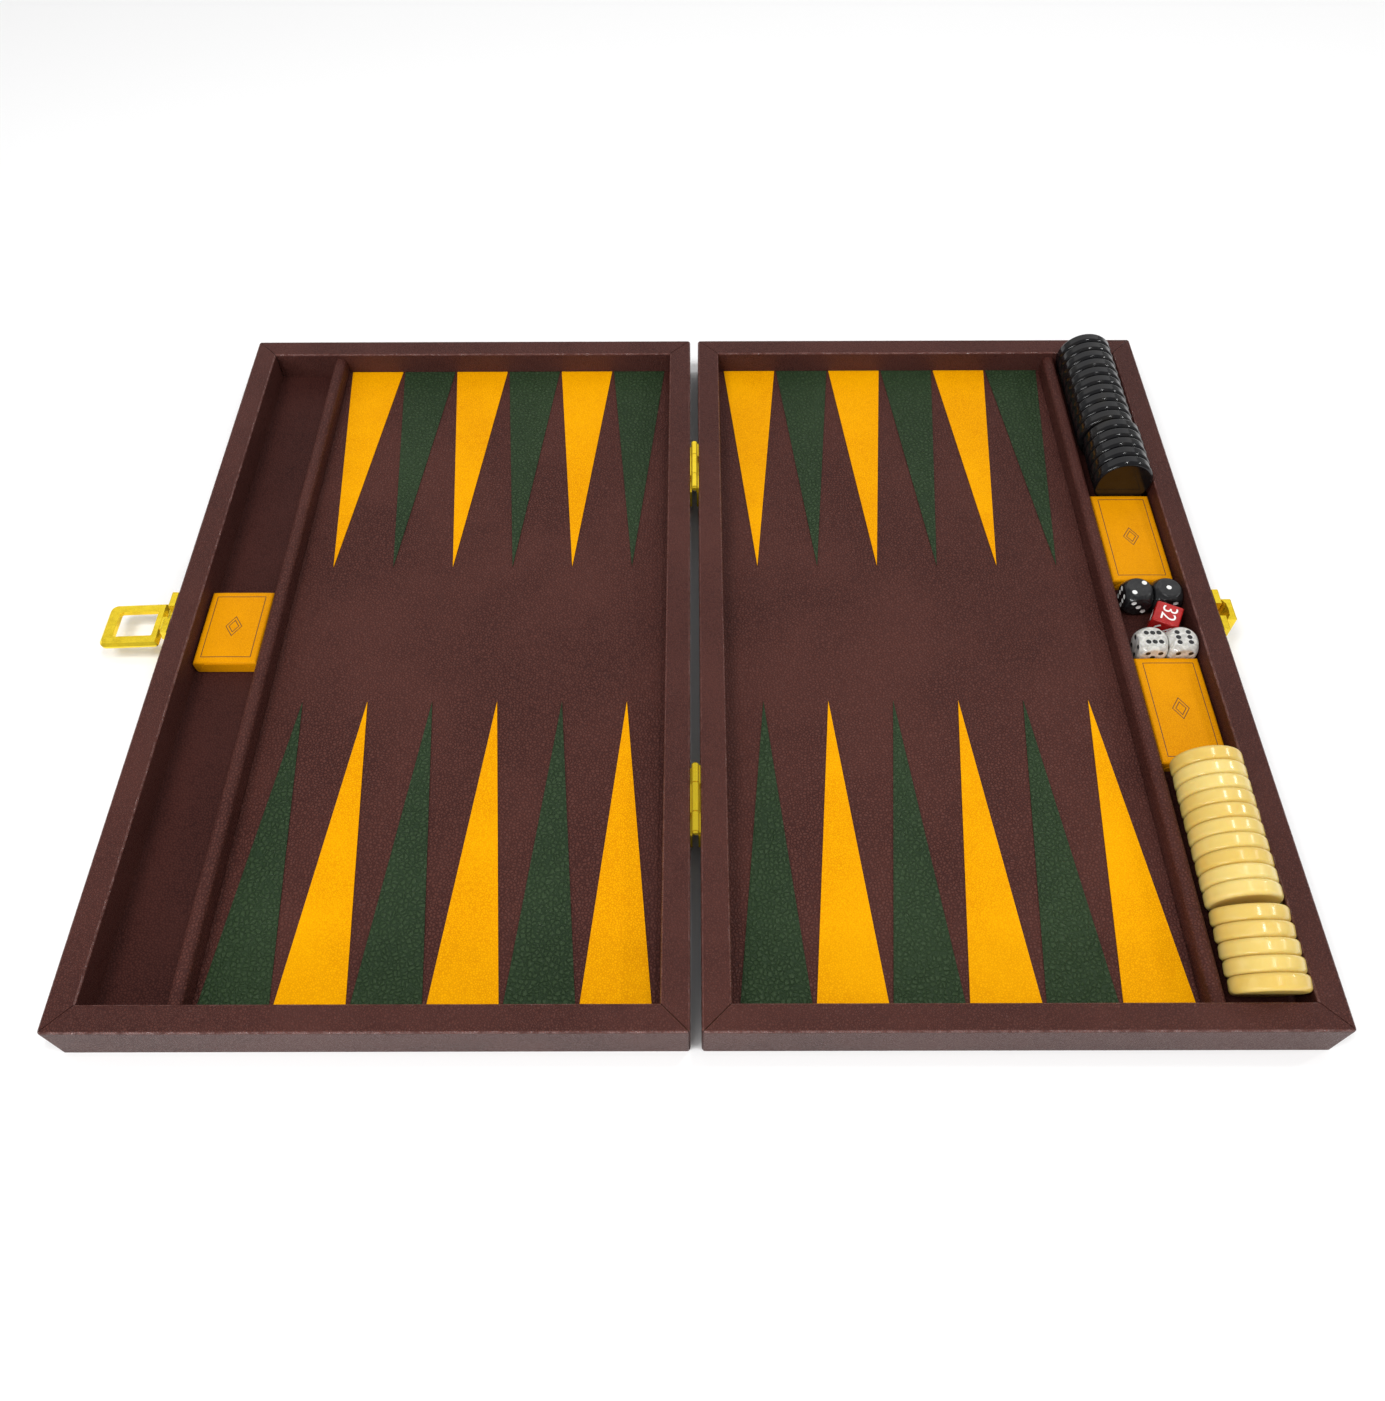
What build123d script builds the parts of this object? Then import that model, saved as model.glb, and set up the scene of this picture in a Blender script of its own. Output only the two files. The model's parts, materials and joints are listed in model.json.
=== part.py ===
"""Folding leather backgammon case, open on a table, with its checkers, dice and doubling cube.

Millimetres. Z is up and the table is z = 0. X runs across both halves and Y runs to the back, along
the hinge line. The origin is on the table, midway between the two halves, under the hinge line.
"""
from build123d import *
from math import cos, radians, sin
import os

os.makedirs("parts", exist_ok=True)

# ---- case ------------------------------------------------------------------------------------------
half_width = 234.0          # one half, from its hinge side to its clasp side
case_depth = 380.0
half_height = 21.2
hinge_gap = 4.1             # between the two halves when they lie open
rim_width = 11.0            # wall with its leather
leather = 0.8
corner_radius = 1.5
rim_radius = 1.2            # softened edges of the leather rim
mitre_gap = 0.3             # seam where two lengths of a frame meet
tray_floor = 6.6            # top of the base board
panel_top = 9.2             # playing surface
point_thickness = 0.4
divider_near = 188.0        # from the middle of the board to the divider's field side
divider_width = 6.0
divider_top = 18.2
fit_gap = 0.15

wall_near = hinge_gap / 2
wall_far = wall_near + half_width
inner_near = wall_near + rim_width
inner_far = wall_far - rim_width
outer_y = case_depth / 2
inner_y = outer_y - rim_width
tray_near = divider_near + divider_width
tray_middle = (tray_near + inner_far) / 2

# ---- points ----------------------------------------------------------------------------------------
first_point = 29.95         # from the middle of the board to the first point's centre line
point_pitch = 28.5
point_base = 27.5
point_length = 139.8

# ---- blocks in the trays ---------------------------------------------------------------------------
block_x = 209.9             # from the middle of the board
block_width = 28.6
block_height = 7.3
block_radius = 0.9
left_block_length = 41.4
right_block_length = 55.4
back_block_y = 53.3         # centres of the two right blocks
front_block_y = -46.3

# ---- checkers --------------------------------------------------------------------------------------
checker_radius = 14.0
checker_thickness = 6.45
checker_edge = 1.8
rows_of_ten = 10
rows_of_five = 5
black_start_y = 178.5       # back face of the first black checker
black_pitch = 6.5
ivory_start_y = -74.05      # where the row of ivory checkers starts
ivory_gap = 0.02
ivory_lean_ten = 7.0        # degrees, tops towards the front
ivory_lean_five = 14.6      # the most that still lets the case close over them
lean_step = 0.968           # share of a checker between the last of the ten and the first of the five

# ---- dice and doubling cube ------------------------------------------------------------------------
die_size = 13.0
die_round = 8.45            # radius of the ball that takes the corners off a die
die_edge = 1.3
pip_radius = 1.2
pip_depth = 0.3
pip_offset = 2.8
six_rows = 0.9      # the two rows of a six are a little closer
die_side_gap = 0.5
back_dice_y = 16.6
front_dice_y = -12.05
cube_size = 12.1
cube_edge = 1.0
cube_turn = -25.5
cube_x = 214.3
cube_y = 2.25

# ---- hinges ----------------------------------------------------------------------------------------
hinge_z = half_height + 0.15
hinge_y = 94.3
hinge_length = 31.4
middle_knuckle = 13.4
knuckle_radius = 1.65
knuckle_gap = 0.2
pin_radius = 0.75
pin_clearance = 0.05
pin_head_radius = 1.4
pin_head = 0.6
leaf_thickness = 0.8
leaf_top = hinge_z - knuckle_radius - 1.0
leaf_height = 10.0
leaf_screw_pitch = 12.0

# ---- clasp and catch -------------------------------------------------------------------------------
clasp_y = 2.8               # the clasp and catch are a little behind the middle
plate_length = 23.2
plate_thickness = 3.0
plate_top = half_height - 0.5
plate_bottom = 4.2
plate_radius = 0.5
notch_width = 7.3
pivot_out = 4.5             # clasp pin from the case wall
pivot_z = 11.7
ear_radius = 2.0
ear_width = 4.0
clasp_pin_radius = 0.95
loop_width = 24.0
loop_thickness = 2.6
loop_start = 2.7            # distances along the loop from its pin
loop_reach = 30.4
window_start = 6.4
window_end = 24.4
window_width = 14.0
window_radius = 0.8
loop_droop = 3.0
tongue_width = 6.9
tongue_radius = 1.9
heel_bottom = 7.9
hook_width = 11.8
hook_depth = 4.4
hook_bottom = 6.8
hook_groove = 1.75
groove_half_width = 5.6
groove_deep = 6.0

# ---- screws, one size throughout -------------------------------------------------------------------
screw_radius = 0.8
screw_head_radius = 1.5
screw_head = 0.7
screw_length = 6.0
plate_screw_y = 10.0
plate_screw_z = 12.5
leaf_screw_z = 14.5

SIDES = {"left": -1, "right": 1}


def save(builder, name):
    """Label one finished piece and write it to its own file."""
    builder.part.label = name
    export_step(builder.part, f"parts/{name}.step")


def rectangle_face(side, near, far, half_y, z):
    """A rectangle at height z, from near to far along X on one side, and half_y each way along Y."""
    with BuildSketch(Plane.XY.offset(z)) as sketch:
        with Locations((side * (near + far) / 2, 0)):
            Rectangle(far - near, 2 * half_y)
    return sketch.sketch


def cut_mitres(side):
    """Saw the frame under construction into four lengths, at 45 degrees through each corner."""
    middle_near = (wall_near + inner_near) / 2
    middle_far = (inner_far + wall_far) / 2
    middle_y = (inner_y + outer_y) / 2
    for x, x_out in ((middle_near, -1), (middle_far, 1)):
        for y_out in (-1, 1):
            turn = 45 * side * x_out * y_out
            place = Plane((side * x, y_out * middle_y, half_height / 2)).rotated((0, 0, turn))
            with Locations(place):
                Box(3 * rim_width, mitre_gap, 2 * half_height, mode=Mode.SUBTRACT)


def hinge_screw_planes(side):
    """Planes of the six screws that hold one side's two hinge leaves."""
    x = side * (wall_near - leaf_thickness)
    planes = []
    for hinge in (-hinge_y, hinge_y):
        for step in (-1, 0, 1):
            place = (x, hinge + step * leaf_screw_pitch, leaf_screw_z)
            planes.append(Plane(place, z_dir=(side, 0, 0)))
    return planes


def plate_screw_planes(side):
    """Planes of the two screws that hold the clasp base or the catch."""
    x = side * (wall_far + plate_thickness)
    return [Plane((x, y, plate_screw_z), z_dir=(-side, 0, 0)) for y in (clasp_y - plate_screw_y, clasp_y + plate_screw_y)]


def cut_screw_holes(planes):
    """Cut countersunk screw holes through the plate under construction."""
    for plane in planes:
        with BuildSketch(plane) as rim:
            Circle(screw_head_radius)
        with BuildSketch(plane.offset(screw_head)) as neck:
            Circle(screw_radius)
        loft([rim.sketch, neck.sketch], mode=Mode.SUBTRACT)
        extrude(neck.sketch, amount=plate_thickness, mode=Mode.SUBTRACT)


# ---- the two halves of the case --------------------------------------------------------------------
for side_name, side in SIDES.items():
    # Four mitred lengths of wood that make the walls, standing on the base board.
    with BuildPart() as rails:
        core_face = rectangle_face(side, wall_near + leather, wall_far - leather, outer_y - leather, tray_floor)
        hole_face = rectangle_face(side, inner_near - leather, inner_far + leather, inner_y + leather, tray_floor)
        rail_height = half_height - leather - tray_floor
        extrude(core_face, amount=rail_height)
        extrude(hole_face, amount=rail_height, mode=Mode.SUBTRACT)
        cut_mitres(side)
    save(rails, f"{side_name}_frame_rails")

    # Base board, lined on its top and covered underneath.
    with BuildPart() as base_board:
        extrude(rectangle_face(side, wall_near + leather, wall_far - leather, outer_y - leather, 0), amount=tray_floor)
    save(base_board, f"{side_name}_base_board")

    # Leather drawn over the walls: down the outside, across the rim and down the inside, mitred at
    # the corners.
    with BuildPart() as leather_wrap:
        extrude(rectangle_face(side, wall_near, wall_far, outer_y, 0), amount=half_height)
        fillet(leather_wrap.edges().filter_by(Axis.Z), corner_radius)
        extrude(rectangle_face(side, inner_near, inner_far, inner_y, 0), amount=half_height, mode=Mode.SUBTRACT)
        fillet(leather_wrap.faces().sort_by(Axis.Z)[-1].edges(), rim_radius)
        extrude(rectangle_face(side, wall_near + leather, wall_far - leather, outer_y - leather, 0),
                amount=tray_floor, mode=Mode.SUBTRACT)
        with BuildSketch(Plane.XY.offset(tray_floor)) as core_ring:
            with Locations((side * (wall_near + wall_far) / 2, 0)):
                Rectangle(half_width - 2 * leather, case_depth - 2 * leather)
                Rectangle(half_width - 2 * (rim_width - leather), case_depth - 2 * (rim_width - leather),
                          mode=Mode.SUBTRACT)
        extrude(core_ring.sketch, amount=rail_height, mode=Mode.SUBTRACT)
        cut_mitres(side)
    save(leather_wrap, f"{side_name}_leather_wrap")

    # Leather-covered panel of the playing field.
    with BuildPart() as field_panel:
        extrude(rectangle_face(side, inner_near + fit_gap, divider_near - fit_gap, inner_y - fit_gap, tray_floor),
                amount=panel_top - tray_floor)
    save(field_panel, f"{side_name}_field_panel")

    # Six points of each colour. They alternate along each row, and the rows at the back and the
    # front start with opposite colours.
    for colour, back_start in (("yellow", 0), ("green", 1)):
        with BuildPart() as points:
            for column in range(6):
                from_left = column if side > 0 else 5 - column
                back_row = from_left % 2 == back_start
                y_out = 1 if back_row else -1
                centre = side * (first_point + column * point_pitch)
                base_y = y_out * (inner_y - fit_gap - 0.1)
                tip_y = base_y - y_out * point_length
                with BuildSketch(Plane.XY.offset(panel_top)):
                    with BuildLine():
                        Polyline((centre - point_base / 2, base_y), (centre + point_base / 2, base_y),
                                 (centre, tip_y), close=True)
                    make_face()
                extrude(amount=point_thickness)
        save(points, f"{side_name}_{colour}_points")

    # Divider between the playing field and the tray, with a rounded top.
    with BuildPart() as divider:
        extrude(rectangle_face(side, divider_near, tray_near, inner_y - fit_gap, tray_floor),
                amount=divider_top - tray_floor)
        fillet(divider.edges().filter_by(Axis.Y).group_by(Axis.Z)[-1], divider_width * 0.4)
    save(divider, f"{side_name}_divider")

# ---- leather-covered blocks in the trays -----------------------------------------------------------
with BuildPart() as left_block:
    with BuildSketch(Plane.XY.offset(tray_floor)):
        with Locations((-block_x, 0)):
            Rectangle(block_width, left_block_length)
    extrude(amount=block_height)
    fillet(left_block.edges().filter_by(Axis.Z), block_radius)
    fillet(left_block.edges().group_by(Axis.Z)[-1], block_radius)
save(left_block, "left_tray_block")

with BuildPart() as right_blocks:
    with BuildSketch(Plane.XY.offset(tray_floor)):
        with Locations((block_x, back_block_y), (block_x, front_block_y)):
            Rectangle(block_width, right_block_length)
    extrude(amount=block_height)
    fillet(right_blocks.edges().filter_by(Axis.Z), block_radius)
    fillet(right_blocks.edges().group_by(Axis.Z)[-1], block_radius)
save(right_blocks, "right_tray_blocks")

# ---- hinges ----------------------------------------------------------------------------------------
outer_knuckle = (hinge_length - middle_knuckle) / 2
knuckle_spans = {
    "left": [(0.0, middle_knuckle)],
    "right": [(-(hinge_length - outer_knuckle) / 2, outer_knuckle),
              ((hinge_length - outer_knuckle) / 2, outer_knuckle)],
}
for side_name, side in SIDES.items():
    bore = pin_radius + pin_clearance if side_name == "left" else pin_radius
    leaf_x = side * (wall_near - leaf_thickness / 2)
    web_inner = bore + 0.15
    with BuildPart() as leaves:
        for y in (-hinge_y, hinge_y):
            with Locations((leaf_x, y, leaf_top - leaf_height / 2)):
                Box(leaf_thickness, hinge_length, leaf_height)
            for offset, length in knuckle_spans[side_name]:
                knuckle_length = length - 2 * knuckle_gap
                with Locations((side * (web_inner + wall_near) / 2, y + offset, (leaf_top + hinge_z) / 2 - 0.2)):
                    Box(wall_near - web_inner, knuckle_length, hinge_z - leaf_top)
                with BuildSketch(Plane((0, y + offset + knuckle_length / 2, hinge_z), z_dir=(0, -1, 0))):
                    Circle(knuckle_radius)
                extrude(amount=knuckle_length)
            with BuildSketch(Plane((0, y + hinge_length, hinge_z), z_dir=(0, -1, 0))):
                Circle(bore)
            extrude(amount=2 * hinge_length, mode=Mode.SUBTRACT)
        cut_screw_holes(hinge_screw_planes(side))
    save(leaves, f"hinge_{side_name}_leaves")

with BuildPart() as hinge_pins:
    for y in (-hinge_y, hinge_y):
        with BuildSketch(Plane((0, y + hinge_length / 2, hinge_z), z_dir=(0, -1, 0))):
            Circle(pin_radius)
        extrude(amount=hinge_length)
        for end in (-1, 1):
            with BuildSketch(Plane((0, y + end * hinge_length / 2, hinge_z), z_dir=(0, end, 0))):
                Circle(pin_head_radius)
            extrude(amount=pin_head, taper=35)
save(hinge_pins, "hinge_pins")

# ---- clasp on the left half ------------------------------------------------------------------------
pivot_x = -(wall_far + pivot_out)
with BuildPart() as clasp_base:
    with Locations((-(wall_far + plate_thickness / 2), clasp_y, (plate_top + plate_bottom) / 2)):
        Box(plate_thickness, plate_length, plate_top - plate_bottom)
    fillet(clasp_base.faces().sort_by(Axis.X)[0].edges(), plate_radius)
    for end in (-1, 1):
        ear_y = clasp_y + end * (notch_width + ear_width) / 2
        with Locations(((pivot_x - wall_far) / 2, ear_y, pivot_z)):
            Box(pivot_out, ear_width, 2 * ear_radius)
        with BuildSketch(Plane((pivot_x, ear_y + ear_width / 2, pivot_z), z_dir=(0, -1, 0))):
            Circle(ear_radius)
        extrude(amount=ear_width)
    with Locations((-(wall_far + plate_thickness / 2), clasp_y, plate_top)):
        Box(2 * plate_thickness, notch_width, 2 * (plate_top - pivot_z + ear_radius + 0.4), mode=Mode.SUBTRACT)
    with BuildSketch(Plane((pivot_x, plate_length, pivot_z), z_dir=(0, -1, 0))):
        Circle(clasp_pin_radius)
    extrude(amount=2 * plate_length, mode=Mode.SUBTRACT)
    cut_screw_holes(plate_screw_planes(-1))
save(clasp_base, "clasp_base")

with BuildPart() as clasp_pin:
    pin_length = notch_width + 2 * ear_width
    with BuildSketch(Plane((pivot_x, clasp_y + pin_length / 2, pivot_z), z_dir=(0, -1, 0))):
        Circle(clasp_pin_radius)
    extrude(amount=pin_length)
save(clasp_pin, "clasp_pin")

# The loop swings on the pin. Its plane hangs a little below level, where its heel meets the base.
droop = radians(loop_droop)
loop_plane = Plane((pivot_x, clasp_y, pivot_z), x_dir=(-cos(droop), 0, -sin(droop)), z_dir=(-sin(droop), 0, cos(droop)))
with BuildPart() as clasp_loop:
    with BuildSketch(loop_plane.offset(-loop_thickness / 2)) as loop_outline:
        with Locations(((loop_start + loop_reach) / 2, 0)):
            Rectangle(loop_reach - loop_start, loop_width)
        fillet(loop_outline.vertices().group_by(Axis.X)[0], 1.6)
        fillet(loop_outline.vertices().group_by(Axis.X)[-1], 4.0)
        with Locations(((window_start + window_end) / 2, 0)):
            RectangleRounded(window_end - window_start, window_width, window_radius, mode=Mode.SUBTRACT)
    extrude(amount=loop_thickness)
    loop_faces = clasp_loop.faces().sort_by(Axis((0, 0, 0), loop_plane.z_dir))
    chamfer(loop_faces[-1].outer_wire().edges(), 1.2)
    chamfer(clasp_loop.faces().sort_by(Axis((0, 0, 0), loop_plane.z_dir))[0].edges(), 0.4)
    with BuildSketch(Plane((pivot_x, clasp_y + tongue_width / 2, pivot_z), z_dir=(0, -1, 0))):
        Circle(tongue_radius)
    extrude(amount=tongue_width)
    with BuildSketch(loop_plane.offset(-loop_thickness / 2)):
        with Locations(((loop_start + 1.0) / 2, 0)):
            Rectangle(loop_start + 1.0, tongue_width)
    extrude(amount=loop_thickness)
    heel_inner = -(wall_far + plate_thickness + 0.1)
    heel_outer = pivot_x - 0.9
    with Locations(((heel_inner + heel_outer) / 2, clasp_y, (heel_bottom + pivot_z) / 2)):
        Box(heel_inner - heel_outer, tongue_width, pivot_z - heel_bottom)
    with BuildSketch(Plane((pivot_x, plate_length, pivot_z), z_dir=(0, -1, 0))):
        Circle(clasp_pin_radius + pin_clearance)
    extrude(amount=2 * plate_length, mode=Mode.SUBTRACT)
save(clasp_loop, "clasp_loop")

# ---- catch on the right half -----------------------------------------------------------------------
catch_face = wall_far + plate_thickness
groove_radius = (groove_half_width ** 2 + hook_groove ** 2) / (2 * hook_groove)
with BuildPart() as catch:
    with Locations((wall_far + plate_thickness / 2, clasp_y, (plate_top + plate_bottom) / 2)):
        Box(plate_thickness, plate_length, plate_top - plate_bottom)
    fillet(catch.faces().sort_by(Axis.X)[-1].edges(), plate_radius)
    with Locations((catch_face + hook_depth / 2, clasp_y, (plate_top + hook_bottom) / 2)):
        Box(hook_depth, hook_width, plate_top - hook_bottom)
    fillet(catch.faces().sort_by(Axis.X)[-1].edges(), 0.7)
    with Locations((wall_far + plate_thickness / 2, clasp_y, plate_top)):
        Box(2 * plate_thickness, notch_width, 2 * groove_deep, mode=Mode.SUBTRACT)
    with BuildSketch(Plane.XY.offset(plate_top - groove_deep)):
        with Locations((catch_face + hook_groove - groove_radius, clasp_y)):
            Circle(groove_radius)
        with Locations((catch_face - 2 * groove_radius, clasp_y)):
            Rectangle(4 * groove_radius, 4 * groove_radius, mode=Mode.SUBTRACT)
    extrude(amount=2 * groove_deep, mode=Mode.SUBTRACT)
    cut_screw_holes(plate_screw_planes(1))
save(catch, "catch")

# ---- screws ----------------------------------------------------------------------------------------
for side_name, side in SIDES.items():
    with BuildPart() as screws:
        for plane in hinge_screw_planes(side) + plate_screw_planes(side):
            with BuildSketch(plane) as rim:
                Circle(screw_head_radius)
            with BuildSketch(plane.offset(screw_head)) as neck:
                Circle(screw_radius)
            loft([rim.sketch, neck.sketch])
            extrude(neck.sketch, amount=screw_length - screw_head)
    save(screws, f"{side_name}_screws")


# ---- checkers --------------------------------------------------------------------------------------
def checker(name, centre_x, floor_y, lean):
    """One checker on edge, resting on the tray floor. Without its rounding, its front face would meet
    the floor at floor_y. It leans by this many degrees, its top towards the front."""
    up = (0, -sin(radians(lean)), cos(radians(lean)))
    back = (0, cos(radians(lean)), sin(radians(lean)))
    rounded_off = checker_edge * (up[2] - up[1] - 1)
    middle = (centre_x, floor_y + checker_radius * up[1], tray_floor + checker_radius * up[2] - rounded_off)
    with BuildPart() as piece:
        with BuildSketch(Plane(middle, z_dir=back)):
            Circle(checker_radius)
        extrude(amount=checker_thickness)
        fillet(piece.edges().filter_by(GeomType.CIRCLE), checker_edge)
    save(piece, name)


for number in range(rows_of_ten + rows_of_five):
    in_ten = number < rows_of_ten
    shift = -1.03 if in_ten else 0.68
    front_y = black_start_y - checker_thickness - number * black_pitch
    checker(f"black_checker_{number + 1:02d}", tray_middle + shift, front_y, 0)

ten_pitch = (checker_thickness + ivory_gap) / cos(radians(ivory_lean_ten))
five_pitch = (checker_thickness + ivory_gap) / cos(radians(ivory_lean_five))
ten_end_y = ivory_start_y - rows_of_ten * ten_pitch
for number in range(rows_of_ten + rows_of_five):
    if number < rows_of_ten:
        front_y = ivory_start_y - (number + 1) * ten_pitch
        checker(f"ivory_checker_{number + 1:02d}", tray_middle + 0.55 - 0.11 * number, front_y, ivory_lean_ten)
    else:
        front_y = ten_end_y - lean_step * checker_thickness - (number - rows_of_ten) * five_pitch
        checker(f"ivory_checker_{number + 1:02d}", tray_middle - 0.1, front_y, ivory_lean_five)

# ---- dice ------------------------------------------------------------------------------------------
PIPS = {
    1: [(0, 0)],
    2: [(-1, -1), (1, 1)],
    3: [(-1, 1), (0, 0), (1, -1)],
    4: [(-1, -1), (-1, 1), (1, -1), (1, 1)],
    5: [(-1, -1), (-1, 1), (0, 0), (1, -1), (1, 1)],
    6: [(side * six_rows, step) for side in (-1, 1) for step in (-1, 0, 1)],
}


def die(name, centre_x, centre_y, top, front, right, top_across=(1, 0, 0)):
    """One rounded die with sunken pips, given the values on its top, front and right faces.
    Opposite faces add up to seven. top_across is the direction across the columns of the top."""
    middle = Vector(centre_x, centre_y, tray_floor + die_size / 2)
    faces = [
        ((0, 0, 1), top_across, top), ((0, 0, -1), (-1, 0, 0), 7 - top),
        ((0, -1, 0), (1, 0, 0), front), ((0, 1, 0), (-1, 0, 0), 7 - front),
        ((1, 0, 0), (0, 1, 0), right), ((-1, 0, 0), (0, -1, 0), 7 - right),
    ]
    dimple_radius = (pip_radius ** 2 + pip_depth ** 2) / (2 * pip_depth)
    with BuildPart() as piece:
        with Locations(middle):
            Box(die_size, die_size, die_size)
            Sphere(die_round, mode=Mode.INTERSECT)
        fillet(piece.edges(), die_edge)
        for normal, across, value in faces:
            outward = Vector(*normal)
            flat = Plane(middle + outward * (die_size / 2 + dimple_radius - pip_depth), across, outward)
            with Locations(flat):
                with Locations(*[(u * pip_offset, v * pip_offset, 0) for u, v in PIPS[value]]):
                    Sphere(dimple_radius, mode=Mode.SUBTRACT)
    save(piece, name)


die_step = (die_size + die_side_gap) / 2
dice_x = tray_middle + 1.35
die("black_die_1", dice_x - die_step, back_dice_y, 2, 3, 1)
die("black_die_2", dice_x + die_step, back_dice_y, 1, 5, 4)
die("pearl_die_1", dice_x - die_step, front_dice_y, 6, 5, 3, top_across=(0, -1, 0))
die("pearl_die_2", dice_x + die_step, front_dice_y, 6, 4, 5)

with BuildPart() as doubling_cube:
    with Locations(Plane((cube_x, cube_y, tray_floor + cube_size / 2)).rotated((0, 0, cube_turn))):
        Box(cube_size, cube_size, cube_size)
    fillet(doubling_cube.edges(), cube_edge)
save(doubling_cube, "doubling_cube")
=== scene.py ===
"""Looks for the folding backgammon set: leather case, brass fittings, checkers, dice and cube.

Metres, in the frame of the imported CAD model: Z up, the table at z = 0, the hinge line along Y at x = 0.
"""

from collections import namedtuple
import json
from math import cos, pi, radians, sin, sqrt, tau

import bmesh
import bpy
from mathutils import Matrix, Vector


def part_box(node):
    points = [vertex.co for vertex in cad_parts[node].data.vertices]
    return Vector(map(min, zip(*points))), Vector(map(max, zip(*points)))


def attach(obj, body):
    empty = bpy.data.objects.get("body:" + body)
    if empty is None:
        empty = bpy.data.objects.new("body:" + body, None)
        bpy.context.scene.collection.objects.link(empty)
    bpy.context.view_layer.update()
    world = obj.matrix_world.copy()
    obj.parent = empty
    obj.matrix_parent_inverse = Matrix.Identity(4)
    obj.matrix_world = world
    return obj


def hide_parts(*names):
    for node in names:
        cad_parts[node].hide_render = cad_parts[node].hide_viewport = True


MM = 0.001
ACROSS = Vector((1, 0, 0))
DEEP = Vector((0, 1, 0))
UPWARD = Vector((0, 0, 1))

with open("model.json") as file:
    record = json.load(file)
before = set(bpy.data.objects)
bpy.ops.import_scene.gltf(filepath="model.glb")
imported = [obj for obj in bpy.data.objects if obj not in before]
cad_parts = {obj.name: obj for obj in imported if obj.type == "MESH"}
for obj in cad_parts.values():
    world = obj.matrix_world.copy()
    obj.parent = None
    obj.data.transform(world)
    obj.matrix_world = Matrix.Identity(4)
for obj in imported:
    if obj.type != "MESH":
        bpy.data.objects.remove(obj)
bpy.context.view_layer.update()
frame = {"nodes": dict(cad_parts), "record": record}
nodes = frame["nodes"]
body_of_node = {
    node: body
    for body, members in frame["record"]["behaviour"]["bodies"].items()
    for node in members
}


# ---- shader helpers --------------------------------------------------------------------------------
class Shader:
    """A material under construction, with short calls for the nodes that this scene uses."""

    def __init__(self, name, **sockets):
        self.material = bpy.data.materials.new(name)
        self.material.use_nodes = True
        self.tree = self.material.node_tree
        self.principled = self.tree.nodes["Principled BSDF"]
        for socket, value in sockets.items():
            self.principled.inputs[socket.replace("_", " ")].default_value = value
        self.coordinates = self.node("ShaderNodeTexCoord")
        self.place = self.coordinates.outputs["Object"]

    def node(self, kind, **settings):
        made = self.tree.nodes.new(kind)
        for key, value in settings.items():
            setattr(made, key, value)
        return made

    def link(self, source, target):
        self.tree.links.new(source, target)

    def fill(self, socket, value):
        """Set an input to a value, or connect it to an output."""
        if isinstance(value, bpy.types.NodeSocket):
            self.link(value, socket)
        else:
            socket.default_value = value

    def noise(self, size, detail=3.0, roughness=0.5, distortion=0.0, place=None):
        """Noise with features about this many metres across, 0 to 1."""
        made = self.node("ShaderNodeTexNoise")
        made.inputs["Scale"].default_value = 1 / size
        made.inputs["Detail"].default_value = detail
        made.inputs["Roughness"].default_value = roughness
        made.inputs["Distortion"].default_value = distortion
        self.link(place or self.place, made.inputs["Vector"])
        return made.outputs["Fac"]

    def edge_distance(self, size, place):
        """Distance to the nearest edge of cells that are about this many metres across."""
        made = self.node("ShaderNodeTexVoronoi", feature="DISTANCE_TO_EDGE")
        made.inputs["Scale"].default_value = 1 / size
        self.link(place, made.inputs["Vector"])
        return made.outputs["Distance"]

    def stretched(self, x, y, z):
        """Object coordinates, scaled along each axis."""
        made = self.node("ShaderNodeMapping")
        made.inputs["Scale"].default_value = (x, y, z)
        self.link(self.place, made.inputs["Vector"])
        return made.outputs["Vector"]

    def drifting(self, size):
        """Object coordinates that wander about by up to this many metres."""
        wander = self.node("ShaderNodeTexNoise")
        wander.inputs["Scale"].default_value = 1 / (2.5 * size)
        self.link(self.place, wander.inputs["Vector"])
        made = self.node("ShaderNodeVectorMath", operation="MULTIPLY_ADD")
        self.link(wander.outputs["Color"], made.inputs[0])
        made.inputs[1].default_value = (size, size, size)
        self.link(self.place, made.inputs[2])
        return made.outputs["Vector"]

    def ramp(self, value, low, high, out_low=0.0, out_high=1.0):
        """Smoothly remap low..high to out_low..out_high."""
        made = self.node("ShaderNodeMapRange", interpolation_type="SMOOTHSTEP")
        made.inputs["From Min"].default_value = low
        made.inputs["From Max"].default_value = high
        made.inputs["To Min"].default_value = out_low
        made.inputs["To Max"].default_value = out_high
        self.link(value, made.inputs["Value"])
        return made.outputs["Result"]

    def math(self, operation, a, b):
        made = self.node("ShaderNodeMath", operation=operation)
        self.fill(made.inputs[0], a)
        self.fill(made.inputs[1], b)
        return made.outputs["Value"]

    def mix(self, factor, a, b):
        made = self.node("ShaderNodeMix", data_type="RGBA")
        self.fill(made.inputs["Factor"], factor)
        self.fill(made.inputs["A"], a)
        self.fill(made.inputs["B"], b)
        return made.outputs["Result"]

    def bump(self, height, distance, under=None):
        """Raise the surface by height times distance, on top of an earlier bump."""
        made = self.node("ShaderNodeBump")
        made.inputs["Distance"].default_value = distance
        self.link(height, made.inputs["Height"])
        if under:
            self.link(under, made.inputs["Normal"])
        return made.outputs["Normal"]

    def finish(self, **inputs):
        """Connect the finished outputs to the shader, and return the material."""
        for socket, value in inputs.items():
            self.fill(self.principled.inputs[socket.replace("_", " ")], value)
        return self.material


def paint(target, material):
    """Give an object this one material."""
    target.data.materials.clear()
    target.data.materials.append(material)


def brightened(colour, times):
    """The colour, this many times as bright."""
    return [min(1.0, channel * times) for channel in colour[:3]] + [1]


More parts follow.
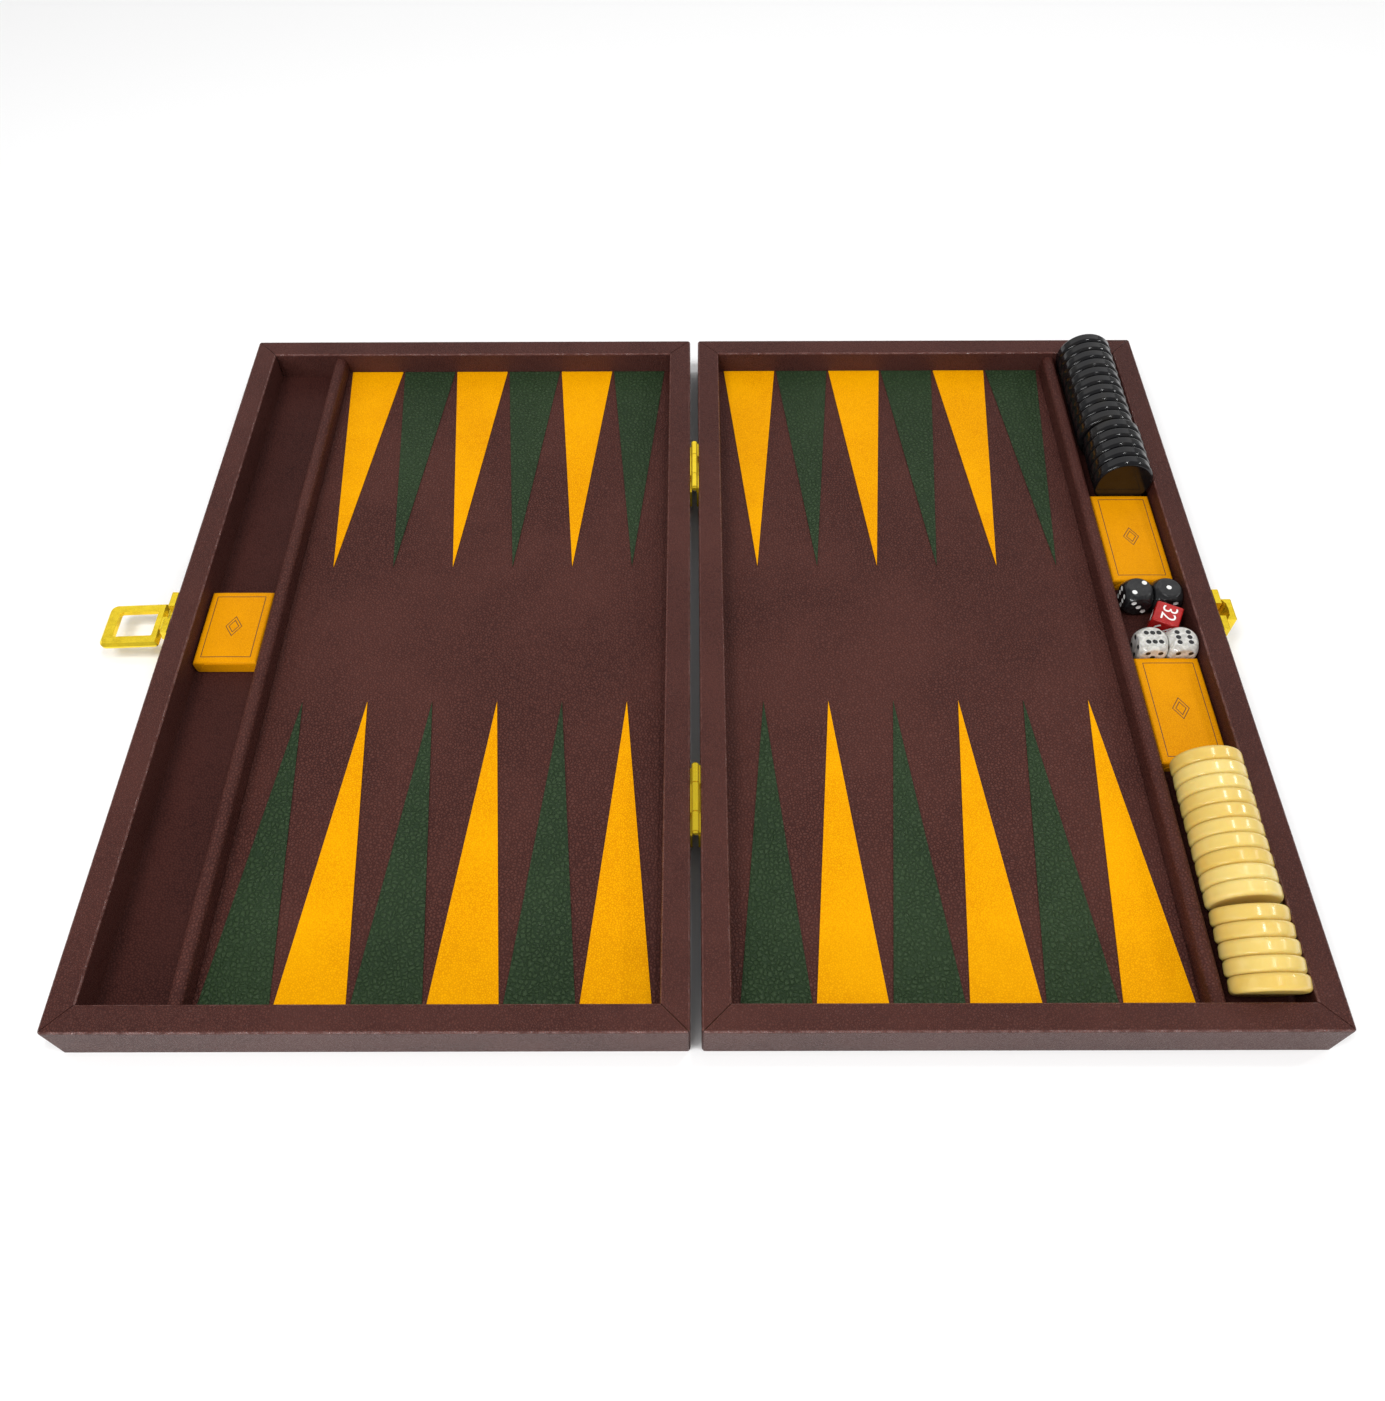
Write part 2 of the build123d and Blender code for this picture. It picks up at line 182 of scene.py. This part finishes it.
# ---- leather ---------------------------------------------------------------------------------------
PORE_SIZE = 0.25 * MM
CLOUD_SIZE = 60 * MM           # soft patches of wear
CLOUD_DEPTH = 0.5 * MM
POLISH_SIZE = 2.2 * MM         # uneven stretches along a polished edge and its painted highlight


def leather(name, colour, shade, grain, depth, roughness, specular, polish=0.0):
    """Embossed leather: pebbles of the size grain, between creases that are depth deep. Where it is
    drawn taut over an edge it is polished, and its colour is lightened there as a painted highlight,
    both by a share that is uneven along the edge."""
    shader = Shader(name, Specular_IOR_Level=specular)
    place = shader.drifting(grain)
    pebbles = shader.ramp(shader.edge_distance(grain, place), 0.0, 0.28)
    small = shader.ramp(shader.edge_distance(grain * 0.45, place), 0.0, 0.3)
    pores = shader.noise(PORE_SIZE, detail=2.0)
    clouds = shader.noise(CLOUD_SIZE, detail=4.0, roughness=0.6)
    total = shader.math("ADD", pebbles, shader.math("MULTIPLY", small, 0.3))
    normal = shader.bump(total, depth)
    normal = shader.bump(pores, depth * 0.25, normal)
    normal = shader.bump(clouds, CLOUD_DEPTH, normal)

    # painted shade: the creases between the pebbles take the darker shade colour, the crowns the full colour
    lit = shader.mix(shader.ramp(total, 0.1, 1.0), shade, colour)
    worn = shader.mix(shader.ramp(clouds, 0.35, 0.7, 0.0, 0.35), lit, brightened(colour, 1.25))
    gloss = shader.ramp(total, 0.2, 1.2, roughness + 0.12, roughness - 0.04)
    if not polish:
        return shader.finish(Base_Color=worn, Roughness=gloss, Normal=normal)

    facing = shader.node("ShaderNodeSeparateXYZ")
    shader.link(shader.coordinates.outputs["Normal"], facing.inputs["Vector"])
    rising = shader.ramp(facing.outputs["Z"], 0.20, 0.50)
    falling = shader.ramp(facing.outputs["Z"], 0.86, 0.98, 1.0, 0.0)
    slant = shader.math("MULTIPLY", rising, falling)
    uneven = shader.ramp(shader.noise(POLISH_SIZE, detail=3.0), 0.35, 0.65, 0.25, 1.0)
    polish_and_highlight = shader.math("MULTIPLY", slant, uneven)
    edge_gloss = shader.math("SUBTRACT", gloss, shader.math("MULTIPLY", polish_and_highlight, 0.16))
    shine = shader.ramp(polish_and_highlight, 0.0, 1.0, specular, polish)
    # painted highlight: slanted edges lighten toward a pale copy of the colour, by the same uneven share as
    # the polish
    pale = shader.mix(shader.math("MULTIPLY", polish_and_highlight, 0.5), worn, brightened(colour, 2.2))
    return shader.finish(Base_Color=pale, Roughness=edge_gloss, Specular_IOR_Level=shine, Normal=normal)


# Each *_SHADE colour is painted shade, for the creases of its leather's grain.
BROWN = (0.090, 0.030, 0.023, 1)
BROWN_SHADE = (0.042, 0.012, 0.010, 1)
DEEP_BROWN = (0.060, 0.019, 0.015, 1)
DEEP_BROWN_SHADE = (0.028, 0.008, 0.007, 1)
GREEN = (0.030, 0.054, 0.023, 1)
GREEN_SHADE = (0.015, 0.032, 0.013, 1)
YELLOW = (0.86, 0.375, 0.0, 1)
YELLOW_SHADE = (0.68, 0.26, 0.0, 1)
BLOCK_YELLOW = (0.72, 0.295, 0.0, 1)
BLOCK_YELLOW_SHADE = (0.60, 0.22, 0.0, 1)

brown_leather = leather("brown leather", BROWN, BROWN_SHADE, 0.9 * MM, 0.16 * MM, 0.32, 0.20, polish=1.0)
lining_leather = leather("lining leather", BROWN, BROWN_SHADE, 1.3 * MM, 0.22 * MM, 0.34, 0.18)
tray_leather = leather("tray leather", DEEP_BROWN, DEEP_BROWN_SHADE, 1.1 * MM, 0.12 * MM, 0.42, 0.12)
green_leather = leather("green leather", GREEN, GREEN_SHADE, 1.9 * MM, 0.42 * MM, 0.32, 0.22)
yellow_leather = leather("yellow leather", YELLOW, YELLOW_SHADE, 0.9 * MM, 0.07 * MM, 0.5, 0.05)
block_leather = leather("block leather", BLOCK_YELLOW, BLOCK_YELLOW_SHADE, 0.7 * MM, 0.03 * MM, 0.45, 0.08)


# ---- wood of the hidden rails ----------------------------------------------------------------------
def wood():
    """Planed softwood, its grain along the depth of the case."""
    shader = Shader("frame wood", Roughness=0.6)
    rings = shader.noise(4 * MM, detail=6.0, distortion=0.6, place=shader.stretched(1.0, 0.08, 1.0))
    fibres = shader.noise(0.6 * MM, detail=4.0, place=shader.stretched(1.0, 0.04, 1.0))
    colour = shader.mix(rings, (0.42, 0.26, 0.13, 1), (0.60, 0.42, 0.24, 1))
    return shader.finish(Base_Color=colour, Normal=shader.bump(fibres, 0.1 * MM))


# ---- brass -----------------------------------------------------------------------------------------
def brass():
    """Cast and polished, a little uneven, with faint scratches and duller patches."""
    shader = Shader("brass", Metallic=0.8)
    casting = shader.noise(3.5 * MM, detail=2.0)
    patches = shader.noise(6 * MM, detail=5.0, roughness=0.7)
    scratches = shader.noise(0.5 * MM, detail=3.0, place=shader.stretched(1.0, 0.06, 1.0))
    colour = shader.mix(shader.ramp(patches, 0.35, 0.75), (0.98, 0.72, 0.035, 1), (0.95, 0.66, 0.02, 1))
    gloss = shader.ramp(patches, 0.3, 0.8, 0.14, 0.24)
    normal = shader.bump(scratches, 0.01 * MM, shader.bump(casting, 0.08 * MM))
    return shader.finish(Base_Color=colour, Roughness=gloss, Normal=normal)


# ---- moulded pieces --------------------------------------------------------------------------------
GLOW_DEPTH = 3 * MM            # how far light travels under the surface
GLOW_TINT = (1.0, 0.75, 0.35)
MARK_SIZE = 1.2 * MM
MARK_DEPTH = 0.01 * MM


def resin(name, colour, swirl, roughness, swirl_size, subsurface=0.0, amount=(0.4, 0.75), **sockets):
    """Cast resin with a soft swirl of a second colour and faint handling marks."""
    shader = Shader(name, Subsurface_Weight=subsurface, Subsurface_Scale=GLOW_DEPTH,
                    Subsurface_Radius=GLOW_TINT, **sockets)
    waves = shader.noise(swirl_size, detail=3.0, distortion=1.5)
    marks = shader.noise(MARK_SIZE, detail=4.0, roughness=0.7)
    mixed = shader.mix(shader.ramp(waves, *amount), colour, swirl)
    gloss = shader.ramp(marks, 0.4, 0.8, roughness, roughness + 0.12)
    return shader.finish(Base_Color=mixed, Roughness=gloss, Normal=shader.bump(marks, MARK_DEPTH))


IVORY_TINTS = [
    ((0.74, 0.55, 0.16, 1), (0.77, 0.59, 0.20, 1)),
    ((0.72, 0.52, 0.14, 1), (0.75, 0.56, 0.175, 1)),
    ((0.77, 0.59, 0.19, 1), (0.79, 0.62, 0.23, 1)),
    ((0.71, 0.50, 0.125, 1), (0.75, 0.55, 0.16, 1)),
]

wood_material = wood()
brass_material = brass()
black_resin = resin("black resin", (0.004, 0.004, 0.005, 1), (0.010, 0.009, 0.008, 1), 0.12, 12 * MM,
                    Specular_IOR_Level=0.4)
black_die_resin = resin("black die resin", (0.008, 0.008, 0.009, 1), (0.022, 0.022, 0.022, 1), 0.14, 5 * MM)
pearl_resin = resin("pearl resin", (0.44, 0.43, 0.40, 1), (0.68, 0.67, 0.63, 1), 0.16, 3.5 * MM,
                    subsurface=0.1, amount=(0.35, 0.70), Coat_Weight=0.5, Coat_Roughness=0.08)
red_resin = resin("red resin", (0.42, 0.008, 0.008, 1), (0.58, 0.02, 0.018, 1), 0.14, 6 * MM,
                  subsurface=0.15, Transmission_Weight=0.2, IOR=1.5)
white_paint = resin("white paint", (0.85, 0.85, 0.83, 1), (0.75, 0.75, 0.72, 1), 0.35, 2 * MM)
black_paint = resin("black paint", (0.010, 0.010, 0.011, 1), (0.020, 0.020, 0.020, 1), 0.35, 2 * MM)
tooling_ink = resin("tooling ink", (0.10, 0.035, 0.010, 1), (0.16, 0.06, 0.015, 1), 0.5, 1.5 * MM)
ivory_resins = [
    resin(f"ivory resin {number}", *tints, 0.16, 14 * MM, subsurface=0.45, Specular_IOR_Level=0.45)
    for number, tints in enumerate(IVORY_TINTS)
]

# ---- materials of the carried-over CAD nodes -------------------------------------------------------
MATERIALS = {
    "divider": lining_leather,
    "field_panel": lining_leather,
    "base_board": tray_leather,
    "leather_wrap": brown_leather,
    "yellow_points": yellow_leather,
    "green_points": green_leather,
    "tray_block": block_leather,
    "rails": wood_material,
    "black_checker": black_resin,
    "black_die": black_die_resin,
    "pearl_die": pearl_resin,
    "doubling_cube": red_resin,
}


def material_of(node_name):
    """The material of a CAD node, by a word in its name. All the fittings are brass."""
    if node_name.startswith("ivory_checker"):
        number = int(node_name[-2:])
        return ivory_resins[number * 3 % 7 % len(ivory_resins)]
    for word, material in MATERIALS.items():
        if word in node_name:
            return material
    return brass_material


for node_name, node in nodes.items():
    paint(node, material_of(node_name))


# ---- mesh helpers ----------------------------------------------------------------------------------
def finish_mesh(name, mesh, material, body, smooth=True):
    """Turn a bmesh into an object on a CAD body."""
    data = bpy.data.meshes.new(name)
    mesh.to_mesh(data)
    mesh.free()
    made = bpy.data.objects.new(name, data)
    bpy.context.scene.collection.objects.link(made)
    paint(made, material)
    if smooth:
        data.shade_smooth()
    else:
        data.shade_flat()
    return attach(made, body)


def agree_on_outside(mesh):
    """Make all the faces of a bmesh point outwards."""
    bmesh.ops.recalc_face_normals(mesh, faces=mesh.faces)


def frame_of(outward, up):
    """A rotation whose local Z points outward and whose local Y points up."""
    z = Vector(outward).normalized()
    y = Vector(up).normalized()
    return Matrix((y.cross(z), y, z)).transposed()


# ---- leather-covered blocks in the trays -----------------------------------------------------------
BLOCK_EDGE = 1.3 * MM          # how softly the leather turns over the edges
EDGE_STEPS = 6
BLOCK_CROWN = 0.35 * MM        # how much the padded top falls towards its edges
BLOCK_SINK = 0.06 * MM         # how far the middle of the top lies under the CAD block's
RIPPLE_HEIGHT = 0.05 * MM
RIPPLE_ACROSS = 2.9 * MM
RIPPLE_ALONG = 4.3 * MM
STEPS_ACROSS = 12
STEPS_ALONG = 20
SIDE_LEVELS = (0.55, 0.25)     # shares of the height
FOOT_LEVELS = (0.04, 0.0)
FOOT_TUCK = 0.25 * MM          # how far the sides pull in at the foot
FLAP_ROOM = 0.25 * MM          # left at each end for the folded flap
FLAP_THICKNESS = 0.22 * MM
FLAP_MARGIN = 0.9 * MM         # from the flap to the block's corner, at the foot
FLAP_SLANT = 0.8
FLAP_TAPER = 0.99              # share of its width on the outside
FLAP_LOW = 0.05                # share of the height
TOOLING_WIDTH = 0.35 * MM
TOOLING_RISE = 0.02 * MM
TOOLING_INSET = 3.2 * MM       # from the stamped border to the block's edge
TOOLING_STEPS = 24
LOZENGE_REACHES = (3.6 * MM, 2.2 * MM)
LOZENGE_STRETCH = 1.5

Block = namedtuple("Block", "centre half_x half_y foot height")


def rounded_profile(half, steps):
    """Positions from -half to half, closely spaced where the edges turn."""
    straight = half - BLOCK_EDGE
    turn = [straight + BLOCK_EDGE * sin(pi / 2 * k / EDGE_STEPS) for k in range(EDGE_STEPS + 1)]
    flat = [straight * (2 * k / steps - 1) for k in range(1, steps)]
    return [-t for t in reversed(turn)] + flat + turn


def edge_drop(t, half):
    """How far the leather has turned down at the distance t from the middle."""
    past = max(0.0, abs(t) - (half - BLOCK_EDGE)) / BLOCK_EDGE
    return BLOCK_EDGE * (1 - sqrt(max(0.0, 1 - past * past)))


def block_surface(block, x, y):
    """Height of a block's leather above its foot, at x and y from its centre."""
    drop = max(edge_drop(x, block.half_x), edge_drop(y, block.half_y))
    crown = BLOCK_CROWN * (abs(x / block.half_x) ** 3 + abs(y / block.half_y) ** 6) / 2
    ripple = RIPPLE_HEIGHT * sin(x / RIPPLE_ACROSS + 1.3) * sin(y / RIPPLE_ALONG)
    return block.height - BLOCK_SINK - drop - crown + ripple


def on_block(block, x, y, rise=0.0):
    """The point on a block's leather, or this far above it, at x and y from its centre."""
    return block.centre.x + x, block.centre.y + y, block.foot + block_surface(block, x, y) + rise


def lowered_rim(mesh, block, rim, level, tuck):
    """A copy of the rim at a share of the height, pulled in by the tuck."""
    shrink_x = 1 - tuck / block.half_x
    shrink_y = 1 - tuck / block.half_y
    return [
        mesh.verts.new((
            block.centre.x + (vertex.co.x - block.centre.x) * shrink_x,
            block.centre.y + (vertex.co.y - block.centre.y) * shrink_y,
            block.foot + block.height * level,
        ))
        for vertex in rim
    ]


def leather_block(block):
    """One padded block: a crowned top that turns down softly into upright sides."""
    xs = rounded_profile(block.half_x, STEPS_ACROSS)
    ys = rounded_profile(block.half_y, STEPS_ALONG)
    mesh = bmesh.new()
    top = [[mesh.verts.new(on_block(block, x, y)) for x in xs] for y in ys]
    for row, next_row in zip(top, top[1:]):
        for k in range(len(xs) - 1):
            mesh.faces.new((row[k], row[k + 1], next_row[k + 1], next_row[k]))
    right_side = [row[-1] for row in top[1:-1]]
    left_side = [row[0] for row in top[-2:0:-1]]
    rim = top[0] + right_side + top[-1][::-1] + left_side
    levels = [rim]
    levels += [lowered_rim(mesh, block, rim, level, 0.0) for level in SIDE_LEVELS]
    levels += [lowered_rim(mesh, block, rim, level, FOOT_TUCK) for level in FOOT_LEVELS]
    for upper, lower in zip(levels, levels[1:]):
        for k in range(len(rim)):
            after = (k + 1) % len(rim)
            mesh.faces.new((upper[after], upper[k], lower[k], lower[after]))
    mesh.faces.new(levels[-1][::-1])
    agree_on_outside(mesh)
    return mesh


def tooled_line(mesh, block, corners):
    """A thin stamped line along closed corners, laid on the block's leather."""
    for k, corner in enumerate(corners):
        start, end = Vector(corner), Vector(corners[(k + 1) % len(corners)])
        along = (end - start).normalized()
        side = Vector((-along.y, along.x)) * TOOLING_WIDTH / 2
        overrun = along * TOOLING_WIDTH / 2
        start, end = start - overrun, end + overrun
        rows = []
        for step in range(TOOLING_STEPS + 1):
            middle = start.lerp(end, step / TOOLING_STEPS)
            points = (middle - side, middle + side)
            rows.append([mesh.verts.new(on_block(block, point.x, point.y, TOOLING_RISE)) for point in points])
        for (a, b), (d, c) in zip(rows, rows[1:]):
            mesh.faces.new((a, d, c, b))


def end_flap(mesh, block, outward):
    """The folded end of the wrapping: a trapezoid whose slanting sides run up from the corners."""
    inner_y = block.centre.y + outward * block.half_y
    outer_y = inner_y + outward * FLAP_THICKNESS
    low = block.foot + FLAP_LOW * block.height
    high = block.foot + block.height - BLOCK_EDGE
    wide = block.half_x - FLAP_MARGIN
    narrow = wide - FLAP_SLANT * (high - low)
    outline = [(-wide, low), (wide, low), (narrow, high), (-narrow, high)]
    inner = [mesh.verts.new((block.centre.x + x, inner_y, z)) for x, z in outline]
    outer = [mesh.verts.new((block.centre.x + x * FLAP_TAPER, outer_y, z)) for x, z in outline]
    mesh.faces.new(outer)
    for k in range(4):
        after = (k + 1) % 4
        mesh.faces.new((inner[k], inner[after], outer[after], outer[k]))


def build_block(name, node, low_y, high_y):
    """The leather, the folded ends and the stamped ornament of one block."""
    lowest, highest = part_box(node)
    body = body_of_node[node]
    block = Block(
        centre=Vector(((lowest.x + highest.x) / 2, (low_y + high_y) / 2, 0)),
        half_x=(highest.x - lowest.x) / 2,
        half_y=(high_y - low_y) / 2 - FLAP_ROOM,
        foot=lowest.z,
        height=highest.z - lowest.z,
    )
    padding = leather_block(block)
    leather_piece = finish_mesh(f"{name}_leather", padding, block_leather, body)
    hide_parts(node)

    flaps = bmesh.new()
    for outward in (-1, 1):
        end_flap(flaps, block, outward)
    agree_on_outside(flaps)
    finish_mesh(f"{name}_end_flaps", flaps, block_leather, body, smooth=False)

    stamp = bmesh.new()
    x, y = block.half_x - TOOLING_INSET, block.half_y - TOOLING_INSET
    tooled_line(stamp, block, [(-x, -y), (x, -y), (x, y), (-x, y)])
    for reach in LOZENGE_REACHES:
        tip = LOZENGE_STRETCH * reach
        tooled_line(stamp, block, [(-reach, 0), (0, -tip), (reach, 0), (0, tip)])
    agree_on_outside(stamp)
    finish_mesh(f"{name}_tooling", stamp, tooling_ink, body)


left_low, left_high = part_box("left_tray_block")
build_block("left_block", "left_tray_block", left_low.y, left_high.y)
right_ys = [vertex.co.y for vertex in nodes["right_tray_blocks"].data.vertices]
build_block("right_back_block", "right_tray_blocks", min(y for y in right_ys if y > 0), max(right_ys))
build_block("right_front_block", "right_tray_blocks", min(right_ys), max(y for y in right_ys if y < 0))


# ---- pips painted in the dimples of the dice -------------------------------------------------------
PIP_RADIUS = 1.2 * MM
PIP_DEPTH = 0.30 * MM
PIP_OFFSET = 2.8 * MM
ROW_OFFSET = 0.9               # the two rows of a six are a little closer
PAINT_DEPTH = 0.06 * MM
PAINT_SPREAD = 0.97            # share of the dimple's radius
PIP_RINGS = 5
PIP_SIDES = 20
PIPS = {
    1: [(0, 0)],
    2: [(-1, -1), (1, 1)],
    3: [(-1, 1), (0, 0), (1, -1)],
    4: [(-1, -1), (-1, 1), (1, -1), (1, 1)],
    5: [(-1, -1), (-1, 1), (0, 0), (1, -1), (1, 1)],
    6: [(side * ROW_OFFSET, step) for side in (-1, 1) for step in (-1, 0, 1)],
}
# Values on the top, front and right faces, and whether the top pattern is turned a quarter.
DICE = {
    "black_die_1": (2, 3, 1, False),
    "black_die_2": (1, 5, 4, False),
    "pearl_die_1": (6, 5, 3, True),
    "pearl_die_2": (6, 4, 5, False),
}


def add_pip(mesh, place, turn):
    """A cap of paint that fills the bottom of one dimple."""
    sphere = (PIP_RADIUS ** 2 + PIP_DEPTH ** 2) / (2 * PIP_DEPTH)
    levels = []
    for ring in range(PIP_RINGS + 1):
        spread = PIP_RADIUS * PAINT_SPREAD * ring / PIP_RINGS
        dimple = sqrt(sphere ** 2 - spread ** 2) - (sphere - PIP_DEPTH)
        sunk = dimple - PAINT_DEPTH * (1 - (ring / PIP_RINGS) ** 4)
        corners = 1 if ring == 0 else PIP_SIDES
        angles = [tau * k / PIP_SIDES for k in range(corners)]
        levels.append([
            mesh.verts.new(place + turn @ Vector((spread * cos(angle), spread * sin(angle), -sunk)))
            for angle in angles
        ])
    for k in range(PIP_SIDES):
        after = (k + 1) % PIP_SIDES
        mesh.faces.new((levels[0][0], levels[1][k], levels[1][after]))
        for inner, outer in zip(levels[1:], levels[2:]):
            mesh.faces.new((inner[k], outer[k], outer[after], inner[after]))


def add_pips(die, top, front, right, turned):
    """The pips of a die, given three of its values. Opposite faces add up to seven."""
    lowest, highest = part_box(die)
    centre = (lowest + highest) / 2
    half = (highest.z - lowest.z) / 2
    faces = [
        (UPWARD, top, ACROSS if turned else DEEP), (-UPWARD, 7 - top, DEEP),
        (-DEEP, front, UPWARD), (DEEP, 7 - front, UPWARD),
        (ACROSS, right, UPWARD), (-ACROSS, 7 - right, UPWARD),
    ]
    mesh = bmesh.new()
    for outward, value, up in faces:
        turn = frame_of(outward, up)
        for u, v in PIPS[value]:
            beside = turn @ Vector((u * PIP_OFFSET, v * PIP_OFFSET, 0))
            add_pip(mesh, centre + outward * half + beside, turn)
    black = die.startswith("black")
    pip_paint = white_paint if black else black_paint
    finish_mesh(f"{die}_pips", mesh, pip_paint, body_of_node[die])


for die_name, values in DICE.items():
    add_pips(die_name, *values)

# ---- numerals of the doubling cube -----------------------------------------------------------------
NUMERAL_HEIGHT = 9.6 * MM
NUMERAL_RISE = 0.05 * MM
NUMERAL_THINNING = 0.04 * MM
NUMERAL_SPACING = 0.9
CUBE_TURN = radians(-25.5)
cube_low, cube_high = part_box("doubling_cube")
cube_side = cube_high.z - cube_low.z
cube_centre = (cube_low + cube_high) / 2
cube_across = Vector((cos(CUBE_TURN), sin(CUBE_TURN), 0))
cube_deep = Vector((-sin(CUBE_TURN), cos(CUBE_TURN), 0))
CUBE_FACES = [
    ("32", UPWARD, cube_across), ("2", -UPWARD, cube_across),
    ("64", -cube_deep, UPWARD), ("8", cube_deep, UPWARD),
    ("16", cube_across, UPWARD), ("4", -cube_across, cube_deep),
]
for numeral, outward, up in CUBE_FACES:
    text = bpy.data.curves.new(f"numeral_{numeral}", "FONT")
    text.body = numeral
    text.size = NUMERAL_HEIGHT
    text.extrude = NUMERAL_RISE / 2
    text.offset = -NUMERAL_THINNING
    text.align_x, text.align_y = "CENTER", "CENTER"
    text.space_character = NUMERAL_SPACING
    numeral_object = bpy.data.objects.new(f"numeral_{numeral}", text)
    bpy.context.scene.collection.objects.link(numeral_object)
    numeral_place = cube_centre + outward * (cube_side + NUMERAL_RISE) / 2
    numeral_object.matrix_world = Matrix.Translation(numeral_place) @ frame_of(outward, up).to_4x4()
    paint(numeral_object, white_paint)
    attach(numeral_object, body_of_node["doubling_cube"])

# ---- floor and world -------------------------------------------------------------------------------
FLOOR_HALF = 3.0
FLOOR_CORNERS = [(-1, -1), (1, -1), (1, 1), (-1, 1)]
floor_mesh = bpy.data.meshes.new("floor")
floor_mesh.from_pydata([(x * FLOOR_HALF, y * FLOOR_HALF, 0) for x, y in FLOOR_CORNERS], [], [(0, 1, 2, 3)])
floor = bpy.data.objects.new("floor", floor_mesh)
bpy.context.scene.collection.objects.link(floor)
floor_shader = Shader("pale floor", Roughness=0.7, Specular_IOR_Level=0.2)
paint(floor, floor_shader.finish(Base_Color=(0.95, 0.95, 0.95, 1)))

world = bpy.data.worlds.new("studio")
world.use_nodes = True
background = world.node_tree.nodes["Background"]
background.inputs["Color"].default_value = (1, 1, 1, 1)
background.inputs["Strength"].default_value = 0.38
bpy.context.scene.world = world


# ---- lights ----------------------------------------------------------------------------------------
def area_light(name, place, width, length, power, target=(0, 0, 0), mirrored=True):
    """An area lamp aimed at the target. One that is not mirrored gives light but no highlights."""
    data = bpy.data.lights.new(name, "AREA")
    data.shape = "RECTANGLE"
    data.size = width
    data.size_y = length
    data.energy = power
    light = bpy.data.objects.new(name, data)
    light.location = place
    light.rotation_euler = (Vector(target) - Vector(place)).to_track_quat("-Z", "Y").to_euler()
    light.visible_glossy = mirrored
    bpy.context.scene.collection.objects.link(light)


CONTENTS = (0.2, 0, 0)         # the checkers, which show the small lamps as highlights
area_light("left softbox", (-0.66, -0.45, 1.5), 0.40, 0.6, 12.0, mirrored=False)
area_light("right softbox", (0.66, -0.45, 1.5), 0.40, 0.6, 4.6, mirrored=False)
area_light("left lamp", (0.32, -0.30, 1.5), 0.09, 0.09, 2.0, target=CONTENTS)
area_light("right lamp", (1.32, -0.13, 1.0), 0.09, 0.09, 1.6, target=CONTENTS)
area_light("far left lamp", (0.31, 0.26, 1.5), 0.09, 0.12, 2.2, target=CONTENTS)
area_light("far right lamp", (1.29, 0.31, 0.95), 0.09, 0.12, 1.7, target=CONTENTS)
area_light("front strip", (-0.75, -1.60, 0.55), 1.4, 0.12, 12)
area_light("back card", (0.0, 1.7, 1.3), 3.4, 1.2, 7)

# ---- camera ----------------------------------------------------------------------------------------
CAMERA_PLACE = (-0.00034, -0.3226, 0.4262)
CAMERA_YAW = radians(0.16)
CAMERA_PITCH = radians(90 - 55.73)
CAMERA_ROLL = radians(-0.28)
camera_data = bpy.data.cameras.new("camera")
camera_data.lens = 29.50
camera_data.sensor_width = 36.0
camera_data.clip_start = 0.01
camera = bpy.data.objects.new("camera", camera_data)
bpy.context.scene.collection.objects.link(camera)
camera.matrix_world = (
    Matrix.Translation(CAMERA_PLACE)
    @ Matrix.Rotation(CAMERA_YAW, 4, "Z")
    @ Matrix.Rotation(CAMERA_PITCH, 4, "X")
    @ Matrix.Rotation(CAMERA_ROLL, 4, "Z")
)
bpy.context.scene.camera = camera
bpy.context.scene.view_settings.view_transform = "Standard"
